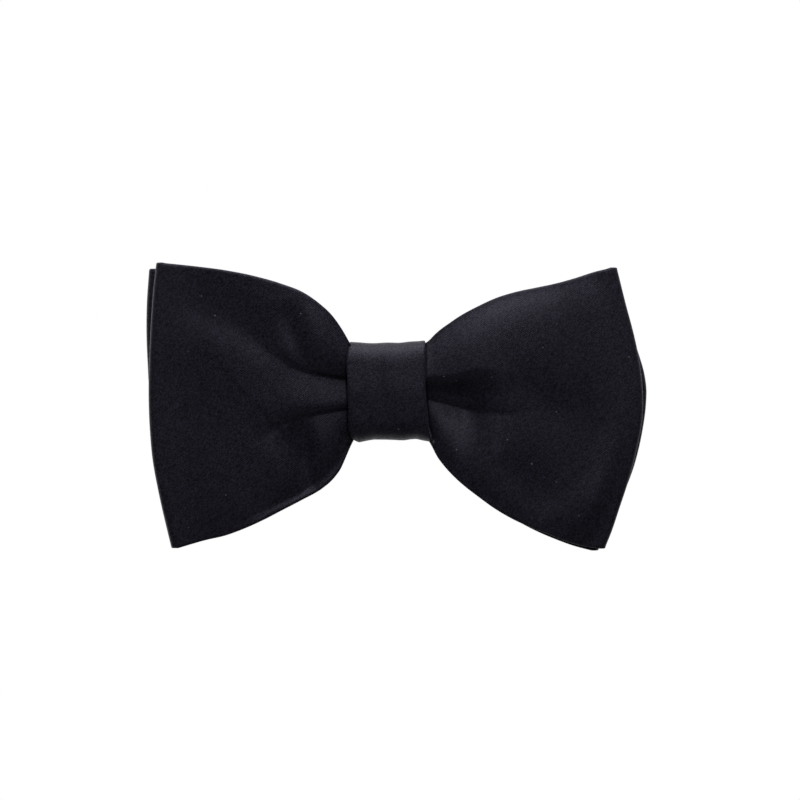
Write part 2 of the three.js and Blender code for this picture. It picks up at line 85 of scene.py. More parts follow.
def gridFaces(rows, columns, closedRows=False, closedColumns=False):
    # Quads between neighbouring points of a grid that is stored row by row
    i = np.arange(rows if closedRows else rows - 1)[:, None]
    j = np.arange(columns if closedColumns else columns - 1)[None, :]
    i2, j2 = (i + 1) % rows, (j + 1) % columns
    corners = [i * columns + j, i * columns + j2, i2 * columns + j2, i2 * columns + j]
    return np.stack(corners, -1).reshape(-1, 4)


def newPiece(name, points, faces, material, body=None, uv=None, ends=()):
    # Points are in millimetres. A face that the signed volume shows to point inwards is turned round.
    points = np.asarray(points, float).reshape(-1, 3)
    a, b, c, d = (points[faces[:, k]] for k in range(4))
    inside = (np.cross(b - a, c - a) * a).sum() + (np.cross(c - a, d - a) * a).sum() < 0
    faces = faces[:, ::-1] if inside else faces
    polygons = faces.tolist() + [list(e[::-1] if inside else e) for e in ends]
    mesh = bpy.data.meshes.new(name)
    mesh.from_pydata((points * mm).tolist(), [], polygons)
    if uv is not None:
        layer = mesh.uv_layers.new(name="clothUv")
        loops = np.empty(len(mesh.loops), int)
        mesh.loops.foreach_get("vertex_index", loops)
        layer.data.foreach_set("uv", (np.asarray(uv, float).reshape(-1, 2)[loops] * mm).ravel())
    mesh.polygons.foreach_set("use_smooth", [True] * len(mesh.polygons))
    mesh.materials.append(material)
    mesh.update()
    piece = bpy.data.objects.new(name, mesh)
    bpy.context.scene.collection.objects.link(piece)
    if body:
        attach(piece, body)
    return piece


def tube(name, path, radius, material, body=None, sides=12, closed=False):
    # A round section carried along a path. The section's first axis is turned along with the path, so
    # that it never flips: each step takes off the part of the last one that lies along the new direction.
    path = np.asarray(path, float)
    if closed:
        tangents = np.roll(path, -1, 0) - np.roll(path, 1, 0)
    else:
        tangents = np.gradient(path, axis=0)
    tangents /= np.linalg.norm(tangents, axis=1, keepdims=True)
    side = np.cross(tangents[0], [0.31, 0.5, 0.81])
    sideways = []
    for tangent in tangents:
        side = side - tangent * side.dot(tangent)
        side = side / np.linalg.norm(side)
        sideways.append(side)
    sideways = np.array(sideways)
    other = np.cross(tangents, sideways)
    angle = np.linspace(0, 2 * np.pi, sides, endpoint=False)
    ring = np.cos(angle)[None, :, None] * sideways[:, None] + np.sin(angle)[None, :, None] * other[:, None]
    points = path[:, None] + radius * ring
    along = np.concatenate([[0], np.cumsum(np.linalg.norm(np.diff(path, axis=0), axis=1))])
    uv = np.stack(np.broadcast_arrays(along[:, None], angle[None] * radius), -1)
    n = len(path)
    ends = [] if closed else [list(range(sides))[::-1], list(range((n - 1) * sides, n * sides))]
    return newPiece(name, points, gridFaces(n, sides, closed, True), material, body, uv, ends)


def addNode(tree, kind, links=None, settings=None, **properties):
    # Adds a node. Settings are values of its inputs, links are the sockets that feed them.
    node = tree.nodes.new(kind)
    for name, value in properties.items():
        setattr(node, name, value)
    for name, value in (settings or {}).items():
        node.inputs[name].default_value = value
    for name, socket in (links or {}).items():
        tree.links.new(socket, node.inputs[name])
    return node


def colourRamp(tree, factor, first, last, start=0.0, stop=1.0):
    ramped = addNode(tree, "ShaderNodeValToRGB", {"Fac": factor})
    for element, text, position in zip(ramped.color_ramp.elements, (first, last), (start, stop)):
        element.position, element.color = position, hexColour(text)
    return ramped


def newMaterial(name):
    material = bpy.data.materials.new(name)
    material.use_nodes = True
    material.node_tree.nodes.clear()
    return material, material.node_tree


satinLook = {
    "paintedShade": "#010101",  # painted shade: the weave's hollows coloured darker than the yarn is
    "crown": "#35323f",  # painted highlight: the crowns of the floats coloured lighter
    "paintedShadeTone": 0.22,  # tone of the pattern at which each colour is reached, 0 to 1
    "crownTone": 0.82,
    "lint": "#a5a2ac",
    "yarn": 0.2,  # mm, width of one float of the twill; the real one is 0.12, and too fine to show
    "floatLength": 0.3,  # mm
    "twillEvery": 2.1,  # floats from one slanting line to the next
    "twillAngle": 52,
    "twillShare": 0.4,  # of the lines in the pattern, and the rest is single floats
    "cloudCells": 75.0,  # to a metre: uneven dye and pressing, about 13 mm
    "cloudShare": 0.14,
    "lintCells": 330.0,  # to a metre: a speck may lie in each 3 mm
    "lintRadius": 0.075,  # of a cell, where a speck fades out, and where it is full
    "lintCore": 0.04,
    "lintStrength": 0.55,
    "lintFrom": 0.62,  # cells with a random value above this hold a speck
    "roughness": 0.46,
    "roughnessSpread": 0.12,
    "bump": 0.05,  # mm
    "specular": 0.24,
    "sheen": 0.2,
}


def twilledSatin(look, name, angle):
    # Midnight-black twilled satin, woven from fine filament yarn: short slanting floats with their sparkle
    # painted into the colour as painted highlight and painted shade, a soft sheen at grazing edges and a
    # little pale lint
    material, tree = newMaterial(name)
    uv = addNode(tree, "ShaderNodeUVMap", uv_map="clothUv")
    turned = addNode(
        tree, "ShaderNodeMapping", {"Vector": uv.outputs["UV"]}, {"Rotation": (0, 0, math.radians(angle))})
    slanted = addNode(
        tree, "ShaderNodeMapping", {"Vector": turned.outputs["Vector"]},
        {"Scale": (1 / (look["yarn"] * mm), 1 / (look["floatLength"] * mm), 1)})
    floats = addNode(
        tree, "ShaderNodeTexVoronoi", {"Vector": slanted.outputs["Vector"]},
        {"Scale": 1.0, "Randomness": 0.8})
    paintedSparkleAndGloss = addNode(tree, "ShaderNodeSeparateColor", {"Color": floats.outputs["Color"]})
    # a wave node's bands are 2 pi / 20 of a unit apart
    twill = addNode(
        tree, "ShaderNodeTexWave", {"Vector": slanted.outputs["Vector"]},
        {"Scale": math.pi / 10 / look["twillEvery"], "Distortion": 0.4, "Detail": 1.0, "Detail Scale": 1.0},
        wave_type="BANDS")
    cloud = addNode(
        tree, "ShaderNodeTexNoise", {"Vector": uv.outputs["UV"]},
        {"Scale": look["cloudCells"], "Detail": 3.0, "Roughness": 0.5})
    weave = addNode(
        tree, "ShaderNodeMix", {"A": paintedSparkleAndGloss.outputs["Green"], "B": twill.outputs["Fac"]},
        {"Factor": look["twillShare"]})
    tone = addNode(
        tree, "ShaderNodeMix", {"A": weave.outputs["Result"], "B": cloud.outputs["Fac"]},
        {"Factor": look["cloudShare"]})
    # painted shade and highlight: the weave's tone colours the hollows dark and the floats' crowns and
    # sparkle light
    colour = colourRamp(
        tree, tone.outputs["Result"], look["paintedShade"], look["crown"], look["paintedShadeTone"], look["crownTone"])
    # lint: the middles of a few of the cells of a Voronoi pattern
    cells = addNode(
        tree, "ShaderNodeTexVoronoi", {"Vector": uv.outputs["UV"]},
        {"Scale": look["lintCells"], "Randomness": 1.0})
    speck = addNode(
        tree, "ShaderNodeMapRange", {"Value": cells.outputs["Distance"]},
        {"From Min": look["lintRadius"], "From Max": look["lintCore"], "To Min": 0.0, "To Max": 1.0})
    chance = addNode(tree, "ShaderNodeSeparateColor", {"Color": cells.outputs["Color"]})
    few = addNode(
        tree, "ShaderNodeMapRange", {"Value": chance.outputs["Red"]},
        {"From Min": look["lintFrom"], "From Max": 1.0, "To Min": 0.0, "To Max": look["lintStrength"]})
    lint = addNode(
        tree, "ShaderNodeMath", {0: speck.outputs["Result"], 1: few.outputs["Result"]},
        operation="MULTIPLY")
    base = addNode(
        tree, "ShaderNodeMix", {"Factor": lint.outputs["Value"], "A": colour.outputs["Color"]},
        {"B": hexColour(look["lint"])}, data_type="RGBA")
    height = addNode(
        tree, "ShaderNodeMath", {0: floats.outputs["Distance"], 1: lint.outputs["Value"]},
        operation="SUBTRACT")
    bump = addNode(
        tree, "ShaderNodeBump", {"Height": height.outputs["Value"]},
        {"Strength": 1.0, "Distance": look["bump"] * mm}, invert=True)
    gloss = addNode(
        tree, "ShaderNodeMapRange", {"Value": paintedSparkleAndGloss.outputs["Blue"]},
        {"From Min": 0.0, "From Max": 1.0, "To Min": look["roughness"] - look["roughnessSpread"],
         "To Max": look["roughness"] + look["roughnessSpread"]})
    shader = addNode(
        tree, "ShaderNodeBsdfPrincipled",
        {"Base Color": base.outputs["Result"], "Normal": bump.outputs["Normal"],
         "Roughness": gloss.outputs["Result"]},
        {"IOR": 1.5, "Specular IOR Level": look["specular"], "Sheen Weight": look["sheen"],
         "Sheen Roughness": 0.3, "Sheen Tint": hexColour("#e4dcf6"), "Specular Tint": hexColour("#e6e0fa")})
    addNode(tree, "ShaderNodeOutputMaterial", {"Surface": shader.outputs["BSDF"]})
    return material


feltLook = {
    "dark": "#26262a",
    "light": "#46464c",
    "fibres": 1800.0,  # to a metre
    "bump": 0.15,  # mm
}


def brushedFelt(look):
    # Wool-blend interlining, needled and brushed: grey, fully matt and fibrous
    material, tree = newMaterial("brushedFeltInterlining")
    place = addNode(tree, "ShaderNodeTexCoord")
    fibres = addNode(
        tree, "ShaderNodeTexNoise", {"Vector": place.outputs["Object"]},
        {"Scale": look["fibres"], "Detail": 5.0, "Distortion": 1.5})
    colour = colourRamp(tree, fibres.outputs["Fac"], look["dark"], look["light"])
    bump = addNode(
        tree, "ShaderNodeBump", {"Height": fibres.outputs["Fac"]},
        {"Strength": 0.6, "Distance": look["bump"] * mm})
    shader = addNode(
        tree, "ShaderNodeBsdfPrincipled",
        {"Base Color": colour.outputs["Color"], "Normal": bump.outputs["Normal"]},
        {"Roughness": 0.95, "Specular IOR Level": 0.15, "Sheen Weight": 0.3})
    addNode(tree, "ShaderNodeOutputMaterial", {"Surface": shader.outputs["BSDF"]})
    return material


threadLook = {
    # dark is painted shade in the grooves between the plies, light is painted highlight on their ridges
    "dark": "#0c0b10",
    "light": "#211f29",
    "ply": 0.28,  # mm from ridge to ridge
    "twist": 35,
    "bump": 0.08,  # mm
}


def twistedThread(look):
    # Black polyester sewing thread, three plies twisted together: slanting ridges with a soft shine, with
    # painted shade in the grooves and painted highlight on the ridges
    material, tree = newMaterial("twistedPolyesterThread")
    uv = addNode(tree, "ShaderNodeUVMap", uv_map="clothUv")
    turned = addNode(
        tree, "ShaderNodeMapping", {"Vector": uv.outputs["UV"]},
        {"Rotation": (0, 0, math.radians(look["twist"])), "Scale": (1 / (look["ply"] * mm),) * 3})
    plies = addNode(
        tree, "ShaderNodeTexWave", {"Vector": turned.outputs["Vector"]},
        {"Scale": math.pi / 10, "Distortion": 0.4, "Detail": 1.0}, wave_type="BANDS")
    # painted shade and highlight: the ply bands colour the grooves dark and the ridges light
    colour = colourRamp(tree, plies.outputs["Fac"], look["dark"], look["light"])
    bump = addNode(
        tree, "ShaderNodeBump", {"Height": plies.outputs["Fac"]},
        {"Strength": 0.8, "Distance": look["bump"] * mm})
    shader = addNode(
        tree, "ShaderNodeBsdfPrincipled",
        {"Base Color": colour.outputs["Color"], "Normal": bump.outputs["Normal"]},
        {"Roughness": 0.5, "Specular IOR Level": 0.4, "Sheen Weight": 0.1})
    addNode(tree, "ShaderNodeOutputMaterial", {"Surface": shader.outputs["BSDF"]})
    return material


def platedMetal(name, light, dark, roughness, stretch):
    # Nickel over stamped steel, or drawn spring wire: bright and slightly warm, with fine rubbing
    # marks along the work and a faint cloudiness from handling
    material, tree = newMaterial(name)
    place = addNode(tree, "ShaderNodeTexCoord")
    along = addNode(
        tree, "ShaderNodeMapping", {"Vector": place.outputs["Object"]}, {"Scale": stretch})
    marks = addNode(
        tree, "ShaderNodeTexNoise", {"Vector": along.outputs["Vector"]},
        {"Scale": 900.0, "Detail": 4.0, "Roughness": 0.7})
    cloud = addNode(
        tree, "ShaderNodeTexNoise", {"Vector": place.outputs["Object"]}, {"Scale": 220.0, "Detail": 2.0})
    both = addNode(
        tree, "ShaderNodeMix", {"A": marks.outputs["Fac"], "B": cloud.outputs["Fac"]}, {"Factor": 0.4})
    colour = colourRamp(tree, both.outputs["Result"], dark, light, 0.3, 0.7)
    gloss = addNode(
        tree, "ShaderNodeMapRange", {"Value": both.outputs["Result"]},
        {"From Min": 0.3, "From Max": 0.7, "To Min": roughness + 0.1, "To Max": roughness - 0.06})
    bump = addNode(
        tree, "ShaderNodeBump", {"Height": marks.outputs["Fac"]}, {"Strength": 0.15, "Distance": 0.02 * mm})
    shader = addNode(
        tree, "ShaderNodeBsdfPrincipled",
        {"Base Color": colour.outputs["Color"], "Roughness": gloss.outputs["Result"],
         "Normal": bump.outputs["Normal"]},
        {"Metallic": 1.0, "Anisotropic": 0.25})
    addNode(tree, "ShaderNodeOutputMaterial", {"Surface": shader.outputs["BSDF"]})
    return material


satin = twilledSatin(satinLook, "twilledSatinWeave", satinLook["twillAngle"])
bandSatin = twilledSatin(satinLook, "twilledSatinOfTheBand", -satinLook["twillAngle"])
felt = brushedFelt(feltLook)
thread = twistedThread(threadLook)
nickel = platedMetal("nickelPlatedSteel", "#cdcac4", "#b2afa8", 0.22, (0.25, 1.0, 1.0))
wire = platedMetal("drawnSpringWire", "#9c9b98", "#77767a", 0.34, (1.0, 1.0, 1.0))
print("materials ready")


# The band round the middle comes first, because the wings rise from under its edges. All in millimetres.
knotBand = {
    "cloth": 1.5,
    "cutWidth": 20.5,
    "plainHalf": 9.4,  # half its width at the back
    "frontY": -13.5,  # of the middle of the cloth
    "topZ": 10.6,
    "bottomZ": -10.8,
    "corner": 3.3,
    "innerBackY": 1.25,
    "outerBackY": 3.15,
    "lap": 5.0,  # each end runs this far past the middle of the back
    "swell": 0.5,
    "full": 0.22,  # how far the cloth stands out between the edges of the strip
    "liningInset": 0.45,
    "liningShort": 1.0,
    "leftEdge": [(-12, 8.3), (-9.4, 9.3), (-2, 9.5), (7.5, 9.9), (11.5, 9.0)],  # height, millimetres out
    "rightEdge": [(-12, 10.7), (-8.2, 9.8), (0, 9.0), (11.5, 8.9)],
    "topShape": [(-9, 0.55), (-5.5, 0.1), (-1, -0.1), (3, 0.1), (8.9, 0.9)],  # millimetres across, rise
    "bottomShape": [(-9, 0.1), (-7, -0.75), (-3, 0.1), (0.5, -0.15), (4, -0.1), (6.5, 0.2), (10.4, -0.8)],
    "edgePower": 0.4,
    "smoothing": 20,
    "stations": 190,
    "across": 64,
}

# Outlines are in millimetres outwards from the middle of the knot and upwards from it. Edges run
# from the knot to the corner and folds from the bottom corner to the top one. Most of the points
# were measured by a script on the photo's silhouette, at even steps, and scaled to millimetres, so
# there are more of them than the shape needs.
frontLoop = {
    "name": "frontBow",
    "foldMiddle": -7.55,  # Y of the middle of the fold at each end
    "foldRadius": 1.6,  # of its outside
    "cloth": 1.2,  # satin, interlining and satin
    "waistFront": -11.4,
    "waistBack": -5.5,
    "left": {
        "top": [(8.2, 10.4), (9.4, 11.9), (10.4, 13.6), (11.7, 15.6), (13.9, 18.4), (16.6, 20.8),
                (21.2, 23.8), (26, 25.6), (33.2, 27.6), (40.4, 29.0), (47.6, 29.95), (55.8, 30.8)],
        "bottom": [(7.6, -10.6), (9.1, -13.4), (10.4, -16.2), (11.9, -19.2), (13.9, -21.6), (16.4, -23.6),
                   (21.2, -26.2), (26, -28.6), (30.8, -31.0), (35.6, -33.1), (40.4, -34.8), (45.2, -35.9),
                   (52.2, -37.9)],
        "fold": [(52.2, -37.9), (53.5, -32.5), (55.2, -24.8), (56.6, -17.1), (57.3, -9.4), (57.6, 0.2),
                 (57.4, 8.5), (57.0, 17.1), (56.5, 24.3), (55.8, 30.8)],
        "roll": {"top": [1.6, 0.9, 0.1, 0.0], "bottom": [1.8, 1.2, 0.5, 0.2]},
    },
    "right": {
        "top": [(8.2, 10.9), (10.1, 12.3), (11.3, 13.5), (12.6, 14.6), (14.9, 16.2), (17.5, 17.9),
                (22.1, 20.3), (26.9, 22.4), (31.7, 23.8), (36.6, 24.8), (41.4, 25.8), (46.2, 27.1),
                (51, 28.6), (55.2, 29.6)],
        "bottom": [(8.4, -10.3), (10.2, -12.6), (12.2, -16.1), (14.6, -19), (17.3, -21.6), (22.1, -25.3),
                   (26.9, -28.6), (31.7, -31.2), (36.6, -33.2), (41.4, -35.1), (46.2, -36.8), (52.4, -38.0)],
        "fold": [(52.4, -38.0), (53.6, -35.0), (55.8, -28.4), (58.2, -20.9), (60.1, -13.2), (61.2, -7.0),
                 (61.4, -2.0), (61.1, 2.6), (60.4, 7.9), (59.2, 13.7), (57.2, 21.4), (55.2, 29.6)],
        "roll": {"top": [3.0, 3.2, 2.2, 0.2], "bottom": [2.8, 2.0, 0.8, 0.2]},
    },
}
backLoop = {
    "name": "backBow",
    "foldMiddle": -3.05,
    "foldRadius": 1.55,
    "cloth": 1.2,
    "waistFront": -5.25,
    "waistBack": -1.45,
    "left": {
        "top": frontLoop["left"]["top"][:-1] + [(57.7, 29.4)],
        "bottom": frontLoop["left"]["bottom"][:-1] + [(51.2, -37.3)],
        "fold": [(51.2, -37.3), (53.4, -30.5), (55.4, -22.5), (56.7, -13.0), (57.5, -3.0), (58.0, 6.0),
                 (58.3, 13.5), (58.2, 21.9), (57.7, 29.4)],
        "roll": {"top": [0.4, 0.3, 0.2, 0.1], "bottom": [0.4, 0.3, 0.2, 0.1]},
    },
    "right": {
        "top": [(x, z - 0.5) for x, z in frontLoop["right"]["top"][:-1]] + [(53.6, 28.6)],
        "bottom": frontLoop["right"]["bottom"][:-4] + [
            (36.6, -33.7), (41.4, -35.7), (46.2, -37.4), (50.9, -38.6)],
        "fold": [(50.9, -38.6), (53.6, -33.5), (56.4, -26.5), (59.4, -18.5), (61.4, -10.0), (62.3, -3.2),
                 (62.4, 0.4), (61.9, 4.2), (60.4, 9.5), (58.0, 16.5), (55.7, 23.0), (53.6, 28.6)],
        "roll": {"top": [0.4, 0.3, 0.2, 0.1], "bottom": [0.4, 0.3, 0.2, 0.1]},
    },
}

# Creases of a panel: a line in millimetres out and up, its depth from the knot outwards, and how far
# its two sides run out above and below it. A narrow side is a sharp edge.
creases = {
    "left": [
        # deep fold above the middle lobe, and the slit at its bottom
        {"line": [(4, 2.3), (9.9, 2.6), (16.4, 3.6), (21.2, 4.8), (24.8, 6.6), (28.4, 9.2),
                  (33.2, 13.6), (38, 19)],
         "depth": [2.4, 2.7, 2.8, 2.4, 1.5, 0.8, 0.2, 0],
         "above": [2.6, 3.2, 4.2, 6, 8], "below": [9, 11, 12, 12, 12]},
        {"line": [(4, 2.3), (9.9, 2.6), (16.4, 3.6), (21.2, 4.8), (25.5, 7.1)],
         "depth": [0.8, 0.9, 0.8, 0.4, 0], "above": [0.4, 0.5, 0.8], "below": [8, 9, 10]},
        # soft dents that leave it towards the top edge
        {"line": [(17.5, 5.0), (20.5, 8.5), (22.3, 12.5), (23.6, 17), (24.6, 22)], "soft": True,
         "depth": [0, 0.9, 1.1, 0.9, 0], "above": [2.6, 2.8, 3.0], "below": [2.0, 2.2, 2.4]},
        {"line": [(25, 8), (31, 12.5), (38, 17), (45, 20.5), (52, 23)], "soft": True,
         "depth": [0, 0.9, 1.2, 0.9, 0], "above": [6, 8, 8], "below": [4, 5, 6]},
        # slit under the middle lobe, the wide fall of the cloth below it towards the edge, and a dent in that
        {"line": [(4, -4.4), (9.6, -4.6), (15.2, -5.4), (21.2, -6.7), (24.8, -8.0), (28.9, -10.4), (33, -14)],
         "depth": [1.2, 1.5, 2.0, 2.1, 1.6, 0.6, 0],
         "above": [0.4, 0.6, 1.0, 2.0, 4], "below": [14, 18, 18, 12]},
        {"line": [(4, -11.5), (9.2, -13), (12.2, -17), (15.2, -20.6), (20, -24), (27, -27.4), (34.5, -31)],
         "depth": [2.4, 2.8, 3.2, 3.4, 3.2, 2.1, 0.3], "above": [4.2, 6, 8, 10, 12], "below": [8, 8, 8, 8]},
        {"line": [(23.5, -6.5), (21.4, -10), (20.3, -14), (20, -18), (19.8, -23), (19.8, -30)], "soft": True,
         "depth": [0, 2.2, 2.9, 2.2, 1.1, 0.4], "above": [4.8, 4.2, 3.8, 4.4], "below": [2.8, 2.8, 3.0, 3.4]},
    ],
    "right": [
        # deep fold above the lower lobe, and the slit at its bottom
        {"line": [(4, -2.0), (9.4, -2.2), (14.9, -3.6), (20.9, -5.1), (26.9, -5.6), (34.1, -5.1), (40, -4.5)],
         "depth": [1.0, 1.1, 1.1, 1.1, 0.9, 0.4, 0],
         "above": [1.2, 1.6, 2.4, 5, 8], "below": [8, 9, 10, 11, 11]},
        # the pocket between the lobes, deepest at its far end
        {"roof": [(4, 3.2), (9.4, 3.4), (14.9, 3.8), (19.7, 4.9), (22.5, 5.4), (25, 5.4), (28, 4.8), (32, 4)],
         "floor": [(4, -2.0), (9.4, -2.2), (14.9, -3.6), (20.9, -5.0), (26.9, -5.4), (32, -5.2)],
         "depth": [(4, 2.2), (9.4, 2.5), (13, 3.3), (16, 4.2), (18.5, 4.7), (20.5, 4.1), (22.8, 2.6),
                   (25, 1.2), (28, 0.3), (32, 0)],
         "wall": [(4, 3.6), (13, 4.6), (17, 5.6), (22, 6.4), (26, 6.4), (32, 6)], "lobe": 12},
        # long soft dents across the wing
        {"line": [(28, 4), (34, 0), (41, -5), (48, -9.5), (54, -13)], "soft": True,
         "depth": [0, 0.6, 0.8, 0.5, 0], "above": [5, 5.5, 6], "below": [4, 5, 6]},
        {"line": [(26, -15), (31, -20.5), (35, -25.5), (38, -31)], "soft": True,
         "depth": [0, 0.9, 0.8, 0], "above": [4.5, 5, 5], "below": [4, 4.5, 5]},
        {"line": [(36, -38), (43, -33), (50, -26.5), (56, -19), (61, -11)], "soft": True,
         "depth": [-0.6, -1.2, -1.5, -1.0, 0], "above": [6, 6.5, 7], "below": [5, 5, 5]},
    ],
    "backLeft": [
        {"line": [(4, 3.4), (12, 4.2), (20, 7.5), (29, 13), (38, 20)],
         "depth": [1.1, 1.1, 0.7, 0.3, 0], "above": [2, 3, 5, 7], "below": [1.4, 2, 4, 6]},
        {"line": [(4, -4), (12, -5.4), (20, -9), (28, -15), (36, -22)],
         "depth": [1.1, 1.0, 0.7, 0.3, 0], "above": [1.4, 2, 4, 6], "below": [2, 3, 5, 7]},
    ],
    "backRight": [
        {"line": [(4, 4.0), (12, 4.9), (21, 8.2), (30, 12), (40, 17)],
         "depth": [1.1, 1.1, 0.8, 0.3, 0], "above": [2, 3, 5, 7], "below": [1.4, 2, 4, 6]},
        {"line": [(4, -3.2), (12, -4.6), (22, -9), (31, -16), (38, -24)],
         "depth": [1.1, 1.1, 0.7, 0.3, 0], "above": [1.4, 2, 4, 6], "below": [2, 3, 5, 7]},
    ],
}
# How far the front panel stands in front of the waist: share of the way out, millimetres
puff = [(0, 3.3), (0.05, 3.45), (0.12, 3.8), (0.22, 4.4), (0.36, 4.6), (0.52, 3.6), (0.7, 1.4),
        (0.87, -1.2), (1, -2.25)]
# Points in each part of a loop's ring and between its ends, and the power that crowds them to the knot
loopGrid = {
    "front": 128, "back": 42, "fold": 11, "waist": 9, "across": 150, "inside": 40, "edge": 4,
    "crowding": 1.2,
}
# Millimetres. The inner face's creases are wider than the outer one's by the blur.
strip = {"cutWidth": 72, "liningInset": 0.35, "innerBlur": 1.1}


def directions(curve):
    # Directions along a curve, each of length 1
    along = np.gradient(curve, axis=0)
    return along / np.linalg.norm(along, axis=1, keepdims=True)


def creaseDepth(x, z, crease, blur):
    # Distance to the line with its sign gives the side of the crease that a point is on. The cloth
    # drops by depth * exp(-distance / side), with the cusp rounded off, or in a soft dent by
    # depth * exp(-(distance / side) squared). Blur widens it for the inside. A pocket is let in
    # between a roof and a floor line, by a depth and under a roof slope that change outwards, and
    # below the floor line the lobe comes forward again by exp(-distance / lobe).
    shares = np.linspace(0, 1, 160)
    window = 43  # of those points that a value is averaged over
    if "roof" in crease:
        roof, floor, depth, wall = (
            np.interp(x, *smoothCurve(crease[name], shares).T) for name in ("roof", "floor", "depth", "wall"))
        under = np.sqrt(np.maximum(floor - z, 0) ** 2 + blur**2) - blur
        return depth * ramp(roof - z, -0.3 - blur, wall + blur) * np.exp(-under / crease["lobe"])
    line = smoothCurve(crease["line"], shares)
    points = np.stack([x.ravel(), z.ravel()], 1)
    nearest = np.concatenate(
        [((part[:, None] - line[None]) ** 2).sum(2).argmin(1) for part in np.array_split(points, 16)])
    off = points - line[nearest]
    t = directions(line)[nearest]
    distance = t[:, 0] * off[:, 1] - t[:, 1] * off[:, 0]
    blend = np.hanning(window) / np.hanning(window).sum()

    def value(name):
        table = np.interp(shares, np.linspace(0, 1, len(crease[name])), crease[name])
        return np.convolve(np.pad(table, window // 2, mode="edge"), blend, "valid")[nearest]

    side = np.where(distance > 0, value("above"), value("below")) + blur
    beyond = np.sqrt(np.maximum((off**2).sum(1) - distance**2, 0))  # past an end of the line
    if crease.get("soft"):
        drop = value("depth") * np.exp(-((distance / side) ** 2))
    else:
        rounding = 0.3 + blur
        drop = value("depth") * np.exp(-(np.sqrt(distance**2 + rounding**2) - rounding) / side)
    drop = drop * np.exp(-((beyond / 4) ** 2)) * (1 - 0.15 * min(blur, 1))
    return drop.reshape(x.shape)


def wingPatch(wing, reach, edge, u, v):
    # A Coons patch between four curves: the sum of the two ruled surfaces less the bilinear one.
    # The edges are drawn in by the roll of the cloth and the fold by its radius.
    top = smoothCurve(wing["top"], u)
    bottom = smoothCurve(wing["bottom"], u)
    topOut = directions(top)[:, ::-1] * (-1, 1)
    bottomOut = directions(bottom)[:, ::-1] * (1, -1)
    top = top - edge * topOut - np.stack([reach * u, 0 * u], 1)
    bottom = bottom - edge * bottomOut - np.stack([reach * u, 0 * u], 1)
    fold = smoothCurve(wing["fold"], v) - (reach, 0)
    fold[:, 1] *= 1 - edge / 36  # half the fold's height is 36 mm
    top[-1], bottom[-1] = fold[-1], fold[0]
    knot = bottom[:1] + (top[:1] - bottom[:1]) * v[:, None]
    a, b = u[:, None, None], v[None, :, None]
    ruled = (1 - b) * bottom[:, None] + b * top[:, None] + (1 - a) * knot[None] + a * fold[None]
    corners = (1 - a) * ((1 - b) * bottom[0] + b * top[0]) + a * ((1 - b) * bottom[-1] + b * top[-1])
    grid = ruled - corners
    return grid[..., 0], grid[..., 1], topOut, bottomOut


def edgeRoll(wing, z, u):
    # The cloth turns back within a few millimetres of its top and bottom edges, most near the knot
    drop = 0
    for name, column in (("top", -1), ("bottom", 0)):
        depth = np.interp(u, [0, 0.25, 0.6, 1], wing["roll"][name])[:, None]
        gap = np.abs(z - z[:, column:][:, :1])
        drop = drop + depth * np.exp(-((gap / 4.2) ** 1.3))
    return drop


def panel(loop, sideName, isFront, u, v, blur=0.0):
    # Y of a panel's outer face over its patch. Blur smooths the creases for the inner face.
    wing = loop[sideName]
    x, z, topOut, bottomOut = wingPatch(wing, loop["foldRadius"], loop["cloth"] / 2, u, v)
    a = u[:, None]
    foldFace = loop["foldMiddle"] + (-1 if isFront else 1) * loop["foldRadius"]
    level = loop["waistFront"] if isFront else loop["waistBack"]
    calm = 1 - ramp(a, 0.9, 1.0)
    if isFront and loop is frontLoop:
        # the cloth is pressed flat under the band, and swells out as soon as it is past its edge
        past = x - np.interp(z, *np.array(knotBand[sideName + "Edge"]).T)
        shelf = 0.4 * ramp(past, -2.0, -0.6) + 0.6 * ramp(past, -0.6, 0.45)
        wingWidth = 50
        shape = smoothCurve(np.array(puff) * (wingWidth, 1), np.linspace(0, 1, 400))
        y = level - np.interp(u, shape[:, 0] / wingWidth, shape[:, 1])[:, None] * shelf
        y = y + (foldFace - y[-1, 0]) * ramp(a, 0.6, 1.0)
        z = z * (1 - 0.06 * ramp(-past, 0, 1.2))
        for crease in creases[sideName]:
            y = y + creaseDepth(x, z, crease, blur) * calm
        y = y + edgeRoll(wing, z, u) * calm
        ripple = 0.12 * np.sin(x / 5.3 + z / 9.1 + 1.0) + 0.1 * np.sin(z / 6.2 - x / 11.7)
        y = y + ripple * calm * ramp(a, 0.1, 0.4)
    else:
        y = level + (foldFace - level) * ramp(a, 0.0, 0.8) + 0 * z
        if not isFront and loop is backLoop:
            for crease in creases["back" + sideName.capitalize()]:
                y = y - creaseDepth(x, z, crease, blur) * calm
            y = y - 0.5 * edgeRoll(wing, z, u) * calm
        y = y + 0.08 * np.sin(x / 6.1 + z / 8.3) * calm * ramp(a, 0.1, 0.4)
    return x, y, z, topOut, bottomOut


def edgeTurn(count, power=0.7):
    # Half a superellipse, cos^power across the cloth and sin^power outwards: a pressed edge is
    # squarer than a round one
    phi = np.linspace(0, np.pi, count + 2)[1:-1]
    return np.sign(np.cos(phi)) * np.abs(np.cos(phi)) ** power, np.sin(phi) ** power


